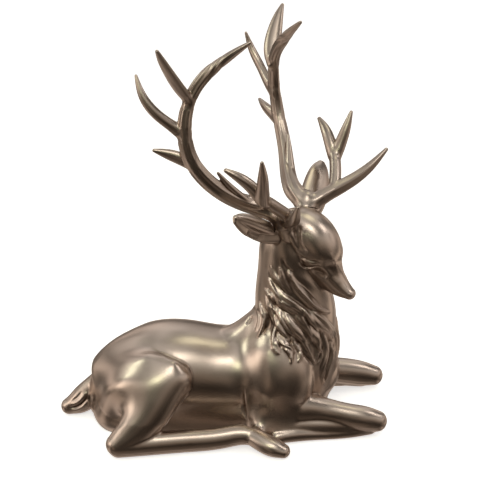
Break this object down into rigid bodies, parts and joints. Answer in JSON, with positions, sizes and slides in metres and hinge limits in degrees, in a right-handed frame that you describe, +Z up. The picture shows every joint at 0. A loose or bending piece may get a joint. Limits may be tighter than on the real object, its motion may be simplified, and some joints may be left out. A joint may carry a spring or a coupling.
{
  "type": "reindeer figurine",
  "caption": "Lying reindeer buck figurine with its head turned over one shoulder and lowered, a carved neck mane and branched antlers, in satin bronze paint.",
  "frame": {"origin": "middle of the plan outline, on the table plane, under the belly", "axes": "+X from the tail towards the chest, +Y to the animal's left, +Z up"},
  "size_m": [0.277, 0.2023, 0.325],
  "materials": {
    "body_paint": "satin metallic bronze paint over cast resin",
    "antler_paint": "satin metallic bronze paint over cast resin"
  },
  "bodies": {
    "root": {"body": "body_paint", "antler_right": "antler_paint", "antler_left": "antler_paint"}
  },
  "joints": []
}
